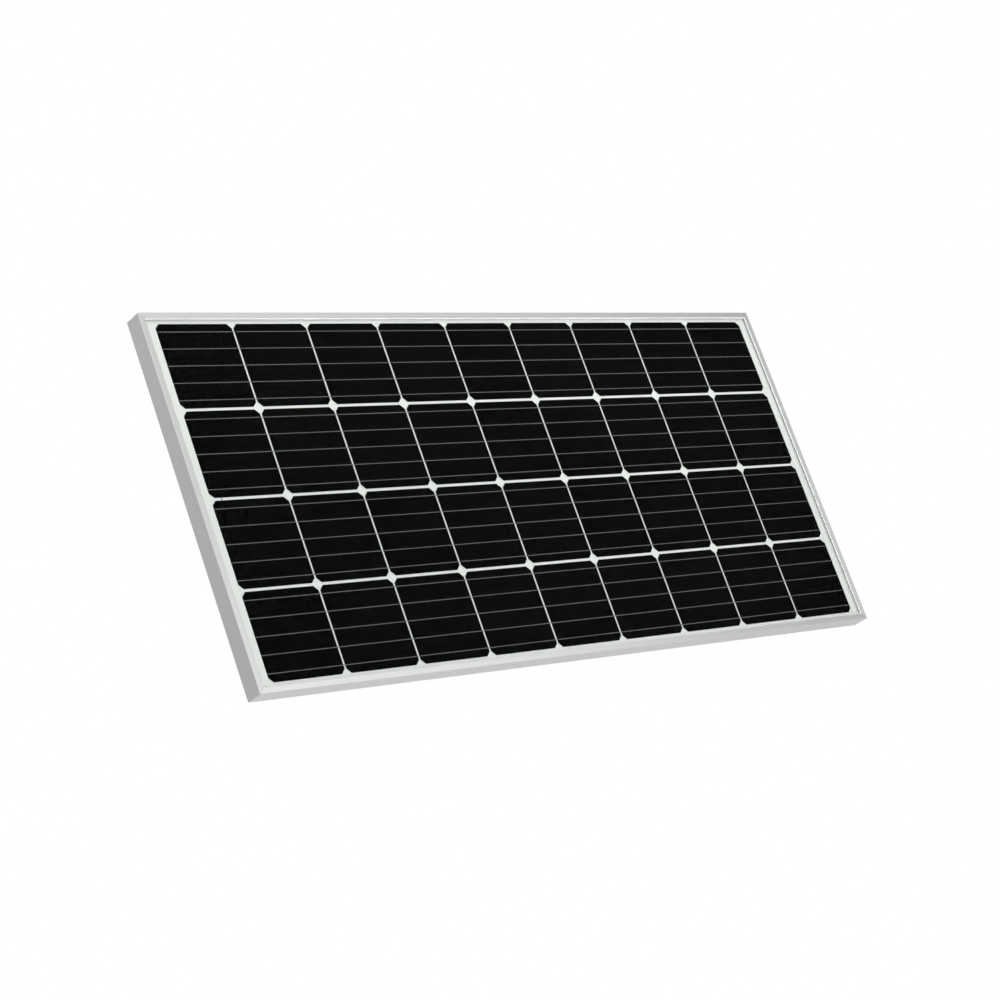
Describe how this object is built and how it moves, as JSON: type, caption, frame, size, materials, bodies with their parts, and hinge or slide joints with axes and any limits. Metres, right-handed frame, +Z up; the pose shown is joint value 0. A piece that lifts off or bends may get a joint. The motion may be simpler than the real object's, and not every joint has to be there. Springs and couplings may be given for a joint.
{
  "type": "solar panel",
  "caption": "Flat rectangular photovoltaic panel: dark chamfered cells behind glass in a silver extruded frame, with a rear junction box and two plug-ended leads.",
  "frame": {"origin": "centre of the rectangle of mounting slots, on the frame's rear mounting plane", "axes": "+X along the long side, +Z up along the short side, +Y out of the back; the sunny face looks along -Y"},
  "size_m": [1.5, 0.035, 0.68],
  "materials": {
    "anodised_aluminium": "clear-anodised extrusion, fine drawn grain, satin",
    "cast_aluminium": "die-cast, matt",
    "silicone_sealant": "light grey silicone, satin",
    "tempered_glass": "low-iron tempered glass, smooth, faint green",
    "clear_encapsulant": "clear laminated film",
    "white_encapsulant": "white laminated film",
    "mono_silicon": "near-black monocrystalline wafer, satin, with fine printed fingers",
    "tinned_ribbon": "tinned copper ribbon, satin",
    "cover_film": "white film",
    "insulation_film": "milky film",
    "backsheet": "white polymer sheet, faintly textured",
    "box_plastic": "black moulded plastic, fine spark texture",
    "gasket_rubber": "soft black rubber",
    "white_silicone": "white silicone bead",
    "stainless_steel": "bright stainless steel",
    "terminal_brass": "tinned brass, satin",
    "copper_core": "stranded copper",
    "diode_epoxy": "moulded epoxy",
    "cable_jacket": "black cross-linked jacket, satin",
    "connector_plastic": "black moulded polyamide",
    "label_film": "blank silver-grey label film"
  },
  "bodies": {
    "panel": {"backsheet": "backsheet", "bus_insulation_film": "insulation_film", "bus_ribbon_mid_tap": "tinned_ribbon", "bus_ribbon_negative": "tinned_ribbon", "bus_ribbon_positive": "tinned_ribbon", "bus_ribbon_string_links": "tinned_ribbon", "bypass_diode_1": "diode_epoxy", "bypass_diode_2": "diode_epoxy", "cable_conductors": "copper_core", "cable_gland_nuts": "box_plastic", "cable_gland_seals": "gasket_rubber", "cable_stubs": "cable_jacket", "cell_string_1": "mono_silicon", "cell_string_2": "mono_silicon", "cell_string_3": "mono_silicon", "cell_string_4": "mono_silicon", "corner_key_bottom_left": "cast_aluminium", "corner_key_bottom_right": "cast_aluminium", "corner_key_top_left": "cast_aluminium", "corner_key_top_right": "cast_aluminium", "end_cover_strip_left": "cover_film", "end_cover_strip_right": "cover_film", "eva_back": "white_encapsulant", "eva_front": "clear_encapsulant", "frame_rail_bottom": "anodised_aluminium", "frame_rail_left": "anodised_aluminium", "frame_rail_right": "anodised_aluminium", "frame_rail_top": "anodised_aluminium", "frame_sealant": "silicone_sealant", "front_glass": "tempered_glass", "junction_box_adhesive": "white_silicone", "junction_box_base": "box_plastic", "junction_box_gasket": "gasket_rubber", "junction_box_hinge_pin": "stainless_steel", "rating_label": "label_film", "tabbing_ribbon_string_1": "tinned_ribbon", "tabbing_ribbon_string_2": "tinned_ribbon", "tabbing_ribbon_string_3": "tinned_ribbon", "tabbing_ribbon_string_4": "tinned_ribbon", "terminal_mid_tap": "terminal_brass", "terminal_negative": "terminal_brass", "terminal_positive": "terminal_brass", "terminal_screws": "stainless_steel"},
    "box_lid": {"junction_box_lid": "box_plastic"},
    "lead_positive": {"cable_positive": "cable_jacket", "connector_positive_body": "connector_plastic", "connector_positive_contact": "terminal_brass", "connector_positive_nut": "connector_plastic", "connector_positive_seal": "gasket_rubber"},
    "lead_negative": {"cable_negative": "cable_jacket", "connector_negative_body": "connector_plastic", "connector_negative_contact": "terminal_brass", "connector_negative_nut": "connector_plastic", "connector_negative_seal": "gasket_rubber"}
  },
  "joints": [
    {"name": "junction_box_lid_hinge", "type": "hinge", "parent": "panel", "child": "box_lid", "pos_m": [-0.662, -0.0043, 0.064], "axis": [1, 0, 0], "range_deg": [0, 110]},
    {"name": "lead_positive_lift", "type": "hinge", "parent": "panel", "child": "lead_positive", "pos_m": [-0.578, -0.015, 0.032], "axis": [0, 0, 1], "range_deg": [0, 75]},
    {"name": "lead_negative_lift", "type": "hinge", "parent": "panel", "child": "lead_negative", "pos_m": [-0.578, -0.015, -0.032], "axis": [0, 0, 1], "range_deg": [0, 75]}
  ]
}
